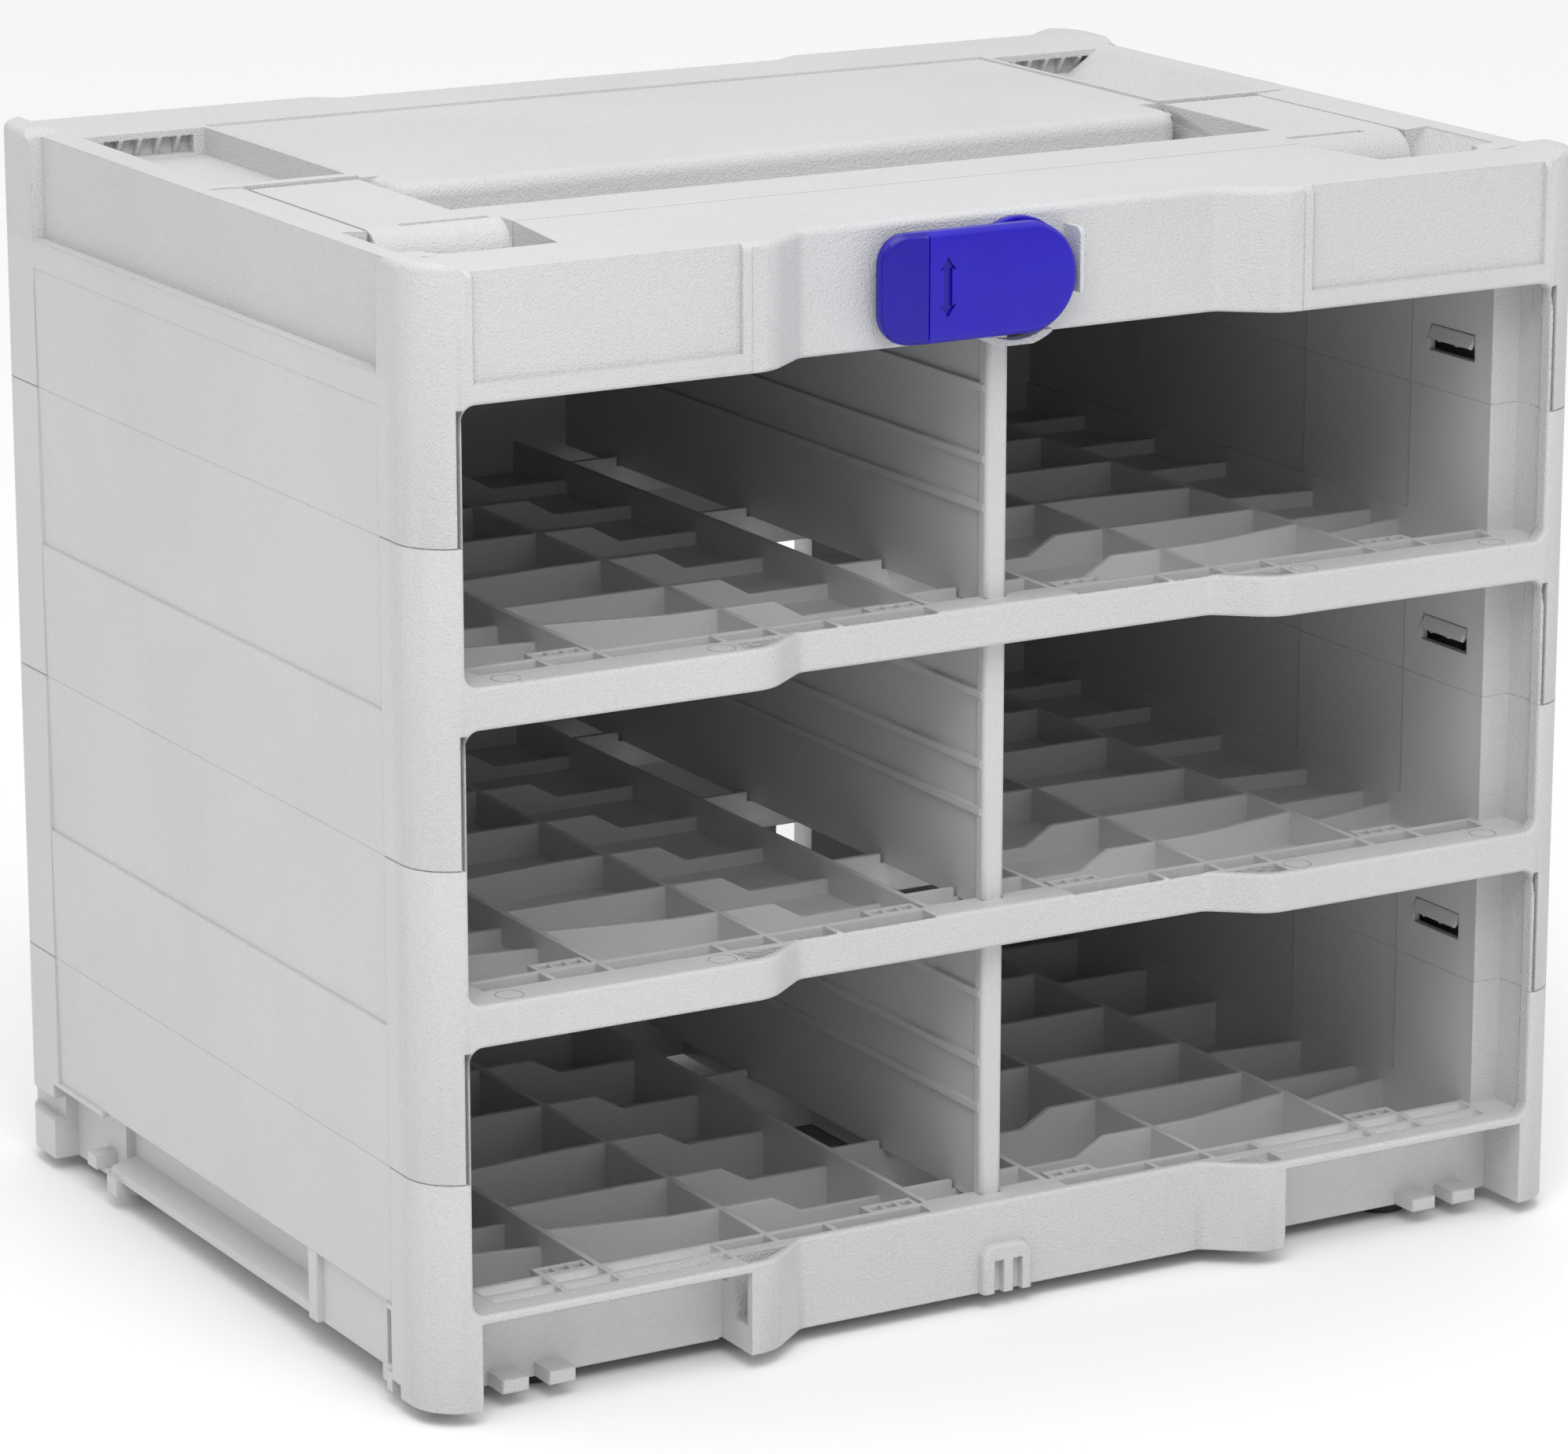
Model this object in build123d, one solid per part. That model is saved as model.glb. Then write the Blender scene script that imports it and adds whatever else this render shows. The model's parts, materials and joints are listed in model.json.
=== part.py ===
from build123d import *
import math
import os

os.makedirs("parts", exist_ok=True)

# A free-standing rack for small-parts drawers: four moulded storeys with three rows of two bays,
# a centre divider in each row, a fold-flat carry handle and a turn latch on the front.
# Frame: X to the right seen from the front, Y to the rear, Z up. The origin is at the middle of
# the footprint, on the surface that the rubber feet stand on. All lengths are millimetres.

# ---------------------------------------------------------------- driving dimensions
WIDTH = 396.0
DEPTH = 296.0
HEIGHT = 337.0
FOOT_HEIGHT = 4.5
CORNER_RADIUS = 15.0
HALF_WIDTH = WIDTH / 2
FRONT = -DEPTH / 2
REAR = DEPTH / 2

ROW_COUNT = 3
ROW_PITCH = 92.15
OPENING_HEIGHT = 79.7
FIRST_FLOOR = 33.0
OPENING_HALF = 184.5
OPENING_CORNER = 4.0
EDGE_ROUND = 1.2

FRONT_RECESS = 12.5
BEND_INNER = 70.5
BEND_OUTER = 86.3
BEND_INNER_ROUND = 5.0
BEND_OUTER_ROUND = 15.0
REAR_RECESS_HALF = 80.0
REAR_RECESS = 6.0
REAR_RECESS_SLOPE = 8.0

LIP_THICKNESS = 5.0
COLUMN_POCKET_HALF = 186.0
COLUMN_POCKET_BACK = -130.0
BAY_HALF = 176.0
BAY_BACK = 136.0
INNER_SKIN = 2.5
OUTER_SKIN = 3.0

RIB = 2.0
LONG_RIBS = (21.0, 77.0, 132.5)
FRONT_RIB = -126.0
SHELF_CELL_DEPTH = 10.0
BASE_CELL_DEPTH = 19.5
INNER_RIB_DROP = 5.6
OUTER_RIB_DROP = 5.0

BASE_UNDERSIDE = 10.9
CENTRE_BLOCK_BOTTOM = 5.0
CENTRE_BLOCK_HALF = 94.0
COLUMN_INNER = 182.0
APRON_FRONT = -130.0
APRON_WALL = 3.0
APRON_TOP = 30.6
SKIRT_BOTTOM = 9.5
SKIRT_FACE = 195.3
SKIRT_INNER = 187.0
SKIRT_FRONT = -118.0
RAIL_FRONT = -65.0
RAIL_REAR = 82.0

RIM_TOP = 335.0
RIM_ROUND = 2.5
DECK_TOP = 334.3
CEILING = FIRST_FLOOR + 2 * ROW_PITCH + OPENING_HEIGHT
PLATEAU_HALF = 141.0
PLATEAU_FRONT = -15.0
PLATEAU_BACK = 111.7
TROUGH_FLOOR = 314.5
NOSE_HALF = 138.0
NOSE_CORNER = 8.0
NOSE_ROUND = 4.5

HANDLE_GAP = 0.5
ARM_INNER = 142.0
ARM_OUTER = 177.5
ARM_TOP = 334.3
ARM_BOTTOM = 322.0
ARM_REAR = 2.4
ARM_REAR_ROUND = 1.2
BAR_REAR = -58.0
BAR_FRONT = -83.2
BAR_SEAM = 0.5
BAR_CHAMFER = 1.5
BAR_NOSE_ROUND = 9.5
BAR_NOSE_START = 135.0
WELL_OUTER = 178.5
WELL_REAR = 4.0
POCKET_FRONT = -120.0
POCKET_OUTER = 186.5
POCKET_FLOOR = 316.0
POCKET_RAMP = 325.0
PIVOT_Y = -1.5
PIVOT_Z = 330.5
PIN_RADIUS = 1.75
RUNNING_GAP = 0.05
PIN_INNER = 134.0
PIN_OUTER = 184.0

LATCH_Z = 315.3
LEVER_FRONT = -146.0
LEVER_BACK = -138.6
LEVER_END = 48.5
LEVER_HALF = 16.2
GRIP_START = -34.6
LEVER_CORNER = 9.0
CAM_RADIUS = 17.0
STUB_RADIUS = 6.0
WALL_GAP = 0.3
LINTEL_WALL = 4.0
LABEL_DEPTH = 1.5

DIVIDER_THICKNESS = 7.5
DIVIDER_FRONT = -128.0
DIVIDER_FOOT = 3.0
GUIDE_HEIGHTS = (27.0, 41.5, 62.7)
GUIDE_TALL = 2.5
GUIDE_PROUD = 1.5

SCREW_RADIUS = 2.0
SCREW_HEAD_RADIUS = 3.5
SCREW_HEAD_HEIGHT = 2.8
SCREW_BELOW_SEAM = 12.0
SCREW_ABOVE_SEAM = 14.0
ACCESS_RADIUS = 3.9
SCREW_PLACES = ((191.5, -136.0), (187.0, 128.0))

FOOT_PLACES = ((151.0, -116.0), (151.0, 116.0))
FOOT_RADIUS = 10.0

SEAM_GROOVE = 0.35
SEAMS = [FIRST_FLOOR + OPENING_HEIGHT / 2 + row * ROW_PITCH for row in range(ROW_COUNT)]
SIDES = (-1, 1)
FAR = 200.0


# ---------------------------------------------------------------- small builders
def block(x0, x1, y0, y1, z0, z1):
    """A box between two opposite corners."""
    size = (x1 - x0, y1 - y0, z1 - z0)
    middle = ((x0 + x1) / 2, (y0 + y1) / 2, (z0 + z1) / 2)
    return Pos(*middle) * Box(*size)


def side_block(side, x0, x1, y0, y1, z0, z1):
    """A box on the right (side 1) or its mirror on the left (side -1)."""
    low, high = sorted((side * x0, side * x1))
    return block(low, high, y0, y1, z0, z1)


def both_blocks(x0, x1, y0, y1, z0, z1):
    """The same box on both sides of the middle."""
    return [side_block(side, x0, x1, y0, y1, z0, z1) for side in SIDES]


def plan_prism(points, z0, z1):
    """A prism that stands up from an outline in plan."""
    face = make_face(Polyline(*points, close=True))
    return Pos(0, 0, z0) * extrude(face, amount=z1 - z0)


def long_prism(points_xz, y0, y1):
    """A prism along Y from an outline in X and Z."""
    corners = [Vector(x, y0, z) for x, z in points_xz]
    face = make_face(Polyline(*corners, close=True))
    return extrude(face, amount=y1 - y0, dir=(0, 1, 0))


def cross_prism(points_yz, x0, x1):
    """A prism along X from an outline in Y and Z."""
    corners = [Vector(x0, y, z) for y, z in points_yz]
    face = make_face(Polyline(*corners, close=True))
    return extrude(face, amount=x1 - x0, dir=(1, 0, 0))


def rod(radius, start, end):
    """A round bar between two points that lie along one axis."""
    start, end = Vector(*start), Vector(*end)
    plane = Plane(origin=start, z_dir=end - start)
    length = (end - start).length
    return plane * Cylinder(radius, length, align=(Align.CENTER, Align.CENTER, Align.MIN))


def arc_through(centre, radius, start_angle, end_angle):
    """An arc given by its centre and two angles in degrees."""
    angles = (start_angle, (start_angle + end_angle) / 2, end_angle)
    points = []
    for angle in angles:
        across = math.cos(math.radians(angle)) * radius
        along = math.sin(math.radians(angle)) * radius
        points.append((centre[0] + across, centre[1] + along))
    return ThreePointArc(*points)


# ---------------------------------------------------------------- outline of every storey in plan
def storey_outline():
    """Rounded rectangle with a shallow recess in the middle of the front and of the rear."""
    turn = math.atan2(FRONT_RECESS, BEND_OUTER - BEND_INNER)
    slope = (math.cos(turn), -math.sin(turn))
    inner_run = BEND_INNER_ROUND * math.tan(turn / 2)
    outer_run = BEND_OUTER_ROUND * math.tan(turn / 2)
    turn_degrees = math.degrees(turn)
    corner_x = HALF_WIDTH - CORNER_RADIUS
    front_corner = (corner_x, FRONT + CORNER_RADIUS)
    rear_corner = (corner_x, REAR - CORNER_RADIUS)
    recess_y = FRONT + FRONT_RECESS
    rear_y = REAR - REAR_RECESS
    rear_out = REAR_RECESS_HALF + REAR_RECESS_SLOPE
    inner_start, outer_end = BEND_INNER - inner_run, BEND_OUTER + outer_run
    slope_start = (BEND_INNER + inner_run * slope[0], recess_y + inner_run * slope[1])
    slope_end = (BEND_OUTER - outer_run * slope[0], FRONT - outer_run * slope[1])
    inner_centre = (inner_start, recess_y - BEND_INNER_ROUND)
    outer_centre = (outer_end, FRONT + BEND_OUTER_ROUND)
    right = [
        Line((0, recess_y), (inner_start, recess_y)),
        arc_through(inner_centre, BEND_INNER_ROUND, 90, 90 - turn_degrees),
        Line(slope_start, slope_end),
        arc_through(outer_centre, BEND_OUTER_ROUND, -90 - turn_degrees, -90),
        Line((outer_end, FRONT), (corner_x, FRONT)),
        arc_through(front_corner, CORNER_RADIUS, -90, 0),
        Line((HALF_WIDTH, FRONT + CORNER_RADIUS), (HALF_WIDTH, REAR - CORNER_RADIUS)),
        arc_through(rear_corner, CORNER_RADIUS, 0, 90),
        Line((corner_x, REAR), (rear_out, REAR)),
        Line((rear_out, REAR), (REAR_RECESS_HALF, rear_y)),
        Line((REAR_RECESS_HALF, rear_y), (0, rear_y)),
    ]
    left = [mirror(edge, about=Plane.YZ) for edge in right]
    return make_face([edge for piece in right + left for edge in piece.edges()])


OUTLINE = storey_outline()


def storey_prism(z0, z1):
    """The full outline between two heights."""
    return Pos(0, 0, z0) * extrude(OUTLINE, amount=z1 - z0)


def seam_groove(z):
    """A hairline groove round the outline, just above a seam."""
    inner = offset(OUTLINE, amount=-SEAM_GROOVE)
    ring = extrude(OUTLINE, amount=SEAM_GROOVE) - extrude(inner, amount=SEAM_GROOVE)
    return Pos(0, 0, z) * ring


# ---------------------------------------------------------------- what every storey is cut by
def bay_floor(row):
    return FIRST_FLOOR + row * ROW_PITCH


def window(row):
    """The rounded opening in the front lip of one row."""
    middle = bay_floor(row) + OPENING_HEIGHT / 2
    frame = RectangleRounded(2 * OPENING_HALF, OPENING_HEIGHT, OPENING_CORNER)
    plane = Plane(origin=(0, FRONT - 1, middle), x_dir=(1, 0, 0), z_dir=(0, -1, 0))
    return extrude(plane * frame, amount=-(LIP_THICKNESS + 1 + FRONT_RECESS))


def bay_space(row):
    """The clear space of one row behind the front lip: the columns' pockets and the bays."""
    low = bay_floor(row)
    high = low + OPENING_HEIGHT
    pockets = block(-COLUMN_POCKET_HALF, COLUMN_POCKET_HALF, FRONT + LIP_THICKNESS,
                    COLUMN_POCKET_BACK, low, high)
    bays = block(-BAY_HALF, BAY_HALF, COLUMN_POCKET_BACK, BAY_BACK, low, high)
    return [pockets, bays]


def column_slots(row):
    """Hairline gaps between the columns' faces and the window's sides, in a row's upper half."""
    middle = bay_floor(row) + OPENING_HEIGHT / 2
    high = bay_floor(row) + OPENING_HEIGHT - 1
    inner, outer = OPENING_HALF + 0.8, OPENING_HALF + 1.9
    gaps = both_blocks(inner, outer, FRONT - 1, FRONT + 12, middle, high)
    for side in SIDES:
        bevel = [(OPENING_HALF - 0.1, high), (inner + 0.1, high), (inner + 0.1, high - 9)]
        gaps.append(long_prism([(side * x, z) for x, z in bevel], FRONT - 1, FRONT + 12))
    return gaps


def rear_windows(row):
    """A pair of vent windows in the rear wall, at mid-height of a row."""
    middle = bay_floor(row) + OPENING_HEIGHT / 2
    return both_blocks(77, 91, BAY_BACK - 1, REAR + 1, middle - 15, middle + 15)


def catch_windows(row):
    """The openings in the inner side skins that the drawer catches look through."""
    low = bay_floor(row) + 51.5
    return both_blocks(BAY_HALF - 1, BAY_HALF + INNER_SKIN + 0.5, -121, -97, low, low + 8.5)


def wall_hollows(z0, z1):
    """The space between the inner and outer skins of the side walls, with cross webs left in."""
    stations = (-124, -64, -4, 56, 116)
    hollows = []
    for start, end in zip(stations, stations[1:]):
        hollows += both_blocks(BAY_HALF + INNER_SKIN, HALF_WIDTH - OUTER_SKIN,
                               start + RIB / 2, end - RIB / 2, z0, z1)
    return hollows


def wall_creases(row):
    """Fine upright steps in the inner side walls, where the wall's draft changes."""
    low = bay_floor(row)
    steps = []
    for start, end, depth in ((-88, -30, 0.4), (-30, 69, 0.8), (69, BAY_BACK, 1.2)):
        steps += both_blocks(BAY_HALF - 1, BAY_HALF + depth, start, end, low, low + OPENING_HEIGHT)
    return steps


def screw_holes(seam, low, high):
    """Holes for the storey screws at one seam: access from below, clearance, and pilot above."""
    holes = []
    for x, y in SCREW_PLACES:
        for side in SIDES:
            at = (side * x, y)
            holes.append(rod(ACCESS_RADIUS, (*at, low), (*at, seam - SCREW_BELOW_SEAM)))
            holes.append(rod(SCREW_RADIUS + 0.2, (*at, low), (*at, seam)))
            holes.append(rod(SCREW_RADIUS + 0.05, (*at, seam), (*at, high)))
    return holes


# ---------------------------------------------------------------- floor grids
def rib_line(index, x):
    """Y of a cross rib's centre line at a distance x from the middle."""
    level = (FRONT_RIB, -99.0, -67.0, -27.5, 14.5, 57.0, 100.0)[index]
    bend_start = (0, 91.0, 0, 95.0, 0, 0, 0)[index]
    slope = (0, 0.2, 0, -0.097, 0, 0, 0)[index]
    return level + slope * max(0.0, x - bend_start)


CROSS_RIBS = 7
BANDS = (
    (LONG_RIBS[0] + RIB / 2, LONG_RIBS[1] - RIB / 2),
    (LONG_RIBS[1] + RIB / 2, LONG_RIBS[2] - RIB / 2),
    (LONG_RIBS[2] + RIB / 2, BAY_HALF),
)
BAND_BREAKS = ((), (93.0,), ())


def floor_cells(top, depth):
    """Pockets between the floor's ribs, as solids to cut away, on both sides."""
    cells = []
    for (inner, outer), breaks in zip(BANDS, BAND_BREAKS):
        stations = (inner, *breaks, outer)
        for index in range(CROSS_RIBS):
            front = [(x, rib_line(index, x) + RIB / 2) for x in stations]
            if index + 1 < CROSS_RIBS:
                back = [(x, rib_line(index + 1, x) - RIB / 2) for x in reversed(stations)]
            else:
                back = [(outer, BAY_BACK), (inner, BAY_BACK)]
            for side in SIDES:
                outline = [(side * x, y) for x, y in front + back]
                cells.append(plan_prism(outline, top - depth, top + 1))
    return cells


def lowered_ribs(top):
    """Cuts that lower the cross ribs near the divider and near the side walls."""
    cuts = []
    low = top - INNER_RIB_DROP
    for side in SIDES:
        slope = [(22, top + 1), (60.8, top + 1), (59, top), (49, low), (22, low)]
        cuts.append(long_prism([(side * x, z) for x, z in slope], -124, BAY_BACK))
        cuts.append(side_block(side, BANDS[2][0], BAY_HALF, -124, BAY_BACK,
                               top - OUTER_RIB_DROP, top + 1))
    return cuts


def channel_cells(top, bottom):
    """The divider's channel: wells between cross ribs, and the notch that seats the divider."""
    half = LONG_RIBS[0] - RIB / 2
    stations = (-125.0, -111.0, -68.0, 14.5, 100.0, BAY_BACK + RIB / 2)
    wells = [block(-half, half, start + RIB / 2, end - RIB / 2, bottom, top + 1)
             for start, end in zip(stations[1:], stations[2:])]
    wells.append(block(-half, half, stations[0] + RIB / 2, stations[1] - RIB / 2, top - 6, top + 1))
    notch = DIVIDER_THICKNESS / 2
    wells.append(block(-notch, notch, DIVIDER_FRONT, BAY_BACK, top - DIVIDER_FOOT, top + 1))
    return wells


def front_slots(top, depth, start, end, innermost=24.0):
    """Short slots in front of the first cross rib, split by the long ribs."""
    slots = []
    edges = (24.0, 56.0, 58.0, LONG_RIBS[1] - 1, LONG_RIBS[1] + 1, 94.0, 96.0,
             LONG_RIBS[2] - 1, LONG_RIBS[2] + 1, 150.0, 152.0, 174.0)
    for inner, outer in zip(edges[::2], edges[1::2]):
        if inner >= innermost:
            slots += both_blocks(inner, outer, start, end, top - depth, top + 1)
    return slots


def bend_pockets(top, depth):
    """Pockets behind the bends of the front wall, between it and the slots."""
    corners = [(94.3, -137.6), (94, -145.4), (88.5, -145.2), (83, -142.2), (76.5, -138.2)]
    return [plan_prism([(side * x, y) for x, y in corners], top - depth, top + 1)
            for side in SIDES]


def clip_ladders(top):
    """Small ladders with three square holes beside the first cross rib."""
    ladders = []
    holes = []
    for inner in (23.5, 134.5):
        ladders += both_blocks(inner, inner + 17, FRONT_RIB, -119, top - 2, top)
        for step in range(3):
            hole = inner + 1.6 + step * 5
            holes += both_blocks(hole, hole + 3.6, -124, -120.6, top - 3, top + 1)
    return Part() + ladders - holes


# ---------------------------------------------------------------- outside of the side walls
def side_panels(z0, z1, ledges):
    """Drafted recesses of the side faces; each zone leans in downwards to the ledge below it."""
    cuts = []
    heights = sorted(ledges)
    for low, high in zip(heights, heights[1:]):
        if high <= z0 or low >= z1:
            continue
        for side in SIDES:
            wedge = [(HALF_WIDTH - 0.9, low), (HALF_WIDTH - 0.15, high),
                     (HALF_WIDTH + 1, high), (HALF_WIDTH + 1, low)]
            cuts.append(long_prism([(side * x, z) for x, z in wedge], -122, 116))
    return cuts


LEDGES = (31.1, 115.0, 207.3, 294.6)


def storey(index):
    """One storey between two seams, before its floor and its own details."""
    low = SEAMS[index - 1] if index else FOOT_HEIGHT
    high = SEAMS[index] if index < ROW_COUNT else DECK_TOP
    body = storey_prism(low, high)
    rows = [row for row in (index - 1, index) if 0 <= row < ROW_COUNT]
    for row in rows:
        body -= window(row)
    return body, low, high, rows


def front_edges(body):
    """Front edges of the openings: straight and arc edges on the front surfaces."""
    chosen = []
    for edge in body.edges():
        box = edge.bounding_box()
        flat = box.max.Z - box.min.Z < 0.01
        at_opening = any(abs(box.min.Z - level) < 0.01
                         for row in range(ROW_COUNT)
                         for level in (bay_floor(row), bay_floor(row) + OPENING_HEIGHT))
        in_front = box.max.Y < FRONT + FRONT_RECESS + 0.1
        on_lip = abs(box.min.Y - box.max.Y) < 0.01
        inner_edge = on_lip and abs(box.max.Y - (FRONT + LIP_THICKNESS)) < 0.01
        if flat and at_opening and in_front and not inner_edge:
            chosen.append(edge)
    return chosen


def finish_storey(body, low, high, rows):
    """Cuts the bays, hollow side walls, panels and screw holes of one storey."""
    cuts = []
    for row in rows:
        cuts += bay_space(row)
        cuts += wall_creases(row)
        cuts += rear_windows(row)
        cuts += catch_windows(row)
        cuts += column_slots(row)
    cuts += side_panels(low, high, LEDGES)
    for seam in SEAMS:
        if abs(seam - high) < 0.1 or abs(seam - low) < 0.1:
            cuts += screw_holes(seam, seam - ROW_PITCH, seam + SCREW_ABOVE_SEAM)
    if low > FOOT_HEIGHT:
        cuts.append(seam_groove(low))
    return body - cuts


def shelf(index):
    """A middle storey: the rail, the floor grid and half of the openings above and below it."""
    body, low, high, rows = storey(index)
    body = fillet(front_edges(body), EDGE_ROUND)
    body = finish_storey(body, low, high, rows)
    body -= wall_hollows(low - 1, high - OUTER_SKIN)
    top = bay_floor(index)
    cuts = floor_cells(top, SHELF_CELL_DEPTH)
    cuts += lowered_ribs(top)
    cuts += channel_cells(top, top - 13)
    cuts += front_slots(top, SHELF_CELL_DEPTH, -135, FRONT_RIB - RIB / 2)
    cuts += bend_pockets(top, SHELF_CELL_DEPTH)
    return body - cuts + clip_ladders(top)


# ---------------------------------------------------------------- base tray
def keeper():
    """The latch keeper low on the front: a rounded bump with two slots open at the bottom."""
    half, bottom, top, proud = 8.6, CENTRE_BLOCK_BOTTOM, 20.0, 3.0
    recess_y = FRONT + FRONT_RECESS
    bump = block(-half, half, recess_y - proud, recess_y + 1, bottom, top)
    shoulders = bump.edges().filter_by(Axis.Y).group_by(Axis.Z)[-1]
    bump = fillet(shoulders, 4.5)
    rim = [edge for edge in bump.edges()
           if edge.bounding_box().max.Y < recess_y - proud + 0.01 and edge.center().Z > bottom + 0.1]
    bump = fillet(rim, 1.2)
    slots = [block(x, x + 3.3, recess_y - proud - 1, recess_y - 0.4, bottom - 1, top - 4.7)
             for x in (-4.8, 1.7)]
    return bump - slots


def front_lugs():
    """Pairs of small coupling lugs low on the aprons."""
    lugs = []
    for side in SIDES:
        for inner in (147.8, 163.0):
            lug = side_block(side, inner, inner + 8.6, APRON_FRONT - 10, APRON_FRONT + 1, 4.7, 8.9)
            rim = [edge for edge in lug.edges() if edge.bounding_box().max.Y < APRON_FRONT - 9]
            lugs.append(fillet(rim, 0.8))
    return lugs


def skirt_cuts():
    """Shapes the foot of the side walls: columns, slots, rail grooves and the rear coupling lugs."""
    face, inner = SKIRT_FACE, SKIRT_INNER
    ledge = LEDGES[0]
    cuts = []
    # the front column ends above the bench; a notch and a slot part it from the skirt
    cuts += both_blocks(inner, FAR, -127, SKIRT_FRONT - 3.5, 0, 8.5)
    cuts += both_blocks(inner, FAR, SKIRT_FRONT + 8, RAIL_REAR, 0, SKIRT_BOTTOM)
    cuts += both_blocks(191, FAR, SKIRT_FRONT - 3.5, SKIRT_FRONT + 4.5, 10.5, ledge - 1.6)
    # the skirt stands back from the panel above it, except for one upright bar
    cuts += both_blocks(face, FAR, SKIRT_FRONT, RAIL_FRONT - 6, 0, ledge)
    cuts += both_blocks(HALF_WIDTH - 0.8, FAR, RAIL_FRONT - 6, RAIL_FRONT, 0, ledge)
    cuts += both_blocks(face, FAR, RAIL_FRONT, RAIL_REAR, 0, ledge)
    for side in SIDES:
        groove = [(inner, 15.5), (inner, ledge), (FAR, ledge), (FAR, 12.4), (face, 12.8)]
        cuts.append(long_prism([(side * x, z) for x, z in groove], RAIL_FRONT, RAIL_REAR))
    # behind the rail the skirt stops at an inner wall
    cuts += both_blocks(190, FAR, RAIL_REAR, 120, 0, ledge - 1.6)
    cuts += both_blocks(194, FAR, 120, FAR, 17.5, 25)
    return cuts


def skirt_lugs():
    """Feet and lugs under and behind the rail grooves."""
    lugs = []
    for side in SIDES:
        lugs.append(side_block(side, 188, 197, 74.5, RAIL_REAR, 4.7, 10.5))
        lugs.append(side_block(side, 188, 197.4, 89, 96, 9.9, 14.4))
        corner = side_block(side, 176, HALF_WIDTH + 1, 120, REAR + 1, 4.7, 17.5)
        lugs.append(storey_prism(4.7, 17.5) & corner)
    return lugs


def base_tray():
    body, low, high, rows = storey(0)
    body = fillet(front_edges(body), EDGE_ROUND)
    body = finish_storey(body, low, high, rows)
    body -= wall_hollows(bay_floor(0) + OUTER_SKIN, high + 1)
    top = bay_floor(0)
    cuts = floor_cells(top, BASE_CELL_DEPTH)
    cuts += lowered_ribs(top)
    cuts += channel_cells(top, BASE_UNDERSIDE - 1)
    cuts += front_slots(top, BASE_CELL_DEPTH / 2, -140, -135, CENTRE_BLOCK_HALF + 1)
    cuts += front_slots(top, BASE_CELL_DEPTH / 2, -133, FRONT_RIB - RIB / 2)
    cuts += bend_pockets(top, BASE_CELL_DEPTH)
    # space in front of the aprons, and under the floor behind them
    behind = APRON_FRONT + APRON_WALL
    cuts += both_blocks(CENTRE_BLOCK_HALF, COLUMN_INNER, FRONT - 1, APRON_FRONT, 0, APRON_TOP)
    cuts.append(block(-SKIRT_INNER, SKIRT_INNER, behind, FAR, 0, BASE_UNDERSIDE))
    cuts.append(block(-CENTRE_BLOCK_HALF - 1, CENTRE_BLOCK_HALF + 1, FRONT - 1, behind, 0,
                      CENTRE_BLOCK_BOTTOM))
    body -= cuts
    body -= skirt_cuts()
    return body + front_lugs() + skirt_lugs() + keeper() + clip_ladders(top)


# ---------------------------------------------------------------- top housing
def hollow_grid(x0, x1, y0, y1, top, columns, rows):
    """Hollows under the deck, open below, with thin ribs left between them."""
    across = (x1 - x0 + RIB) / columns
    along = (y1 - y0 + RIB) / rows
    cells = []
    for column in range(columns):
        for row in range(rows):
            left = x0 + column * across
            front = y0 + row * along
            cells.append(block(left, left + across - RIB, front, front + along - RIB,
                               CEILING - 1, top))
    return cells


def rear_pocket(side):
    """A shallow pocket of the top rim with a sloped outer side."""
    floor = RIM_TOP - 8.5
    slope = [(143, RIM_TOP + 2), (187, RIM_TOP + 2), (184, RIM_TOP), (171, floor), (143, floor)]
    pocket = long_prism([(side * x, z) for x, z in slope], WELL_REAR + 5, 107.5)
    back = 111.5
    under_lip = side_block(side, 147, 181, 107, back, floor + 1, RIM_TOP - 2)
    gussets = []
    for x in (151.0, 157.5, 164.0, 170.5, 177.0):
        ends = sorted((side * x, side * (x + 1.6)))
        fin = [(106, RIM_TOP), (back + 1, RIM_TOP), (back + 1, floor - 1), (back - 0.6, floor + 1)]
        gussets.append(cross_prism(fin, *ends))
    return [pocket, under_lip - gussets]


def handle_space(side):
    """The well of one handle arm and the finger pocket in front of it."""
    well = side_block(side, ARM_INNER - 5, WELL_OUTER, BAR_FRONT - BAR_SEAM, WELL_REAR,
                      TROUGH_FLOOR, RIM_TOP + 2)
    corners = [(BAR_NOSE_START, BAR_FRONT + 0.1), (BAR_NOSE_START + 5, POCKET_FRONT),
               (WELL_OUTER, POCKET_FRONT), (WELL_OUTER, BAR_FRONT + 7.5)]
    pocket = plan_prism([(side * x, y) for x, y in corners], POCKET_FLOOR, RIM_TOP + 2)
    outer_front = [edge for edge in pocket.edges().filter_by(Axis.Z)
                   if abs(edge.center().Y - POCKET_FRONT) < 0.1
                   and abs(abs(edge.center().X) - WELL_OUTER) < 0.1]
    pocket = fillet(outer_front, 6)
    ramp = [(WELL_OUTER - 1, RIM_TOP + 2), (WELL_OUTER - 1, POCKET_RAMP), (WELL_OUTER, POCKET_RAMP),
            (POCKET_OUTER, DECK_TOP + 0.2), (POCKET_OUTER, RIM_TOP + 2)]
    ramp_cut = long_prism([(side * x, z) for x, z in ramp], POCKET_FRONT + 7, BAR_FRONT + 5)
    pin_hole = rod(PIN_RADIUS, (side * PIN_INNER, PIVOT_Y, PIVOT_Z),
                   (side * PIN_OUTER, PIVOT_Y, PIVOT_Z))
    return [well, pocket, ramp_cut, pin_hole]


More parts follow.
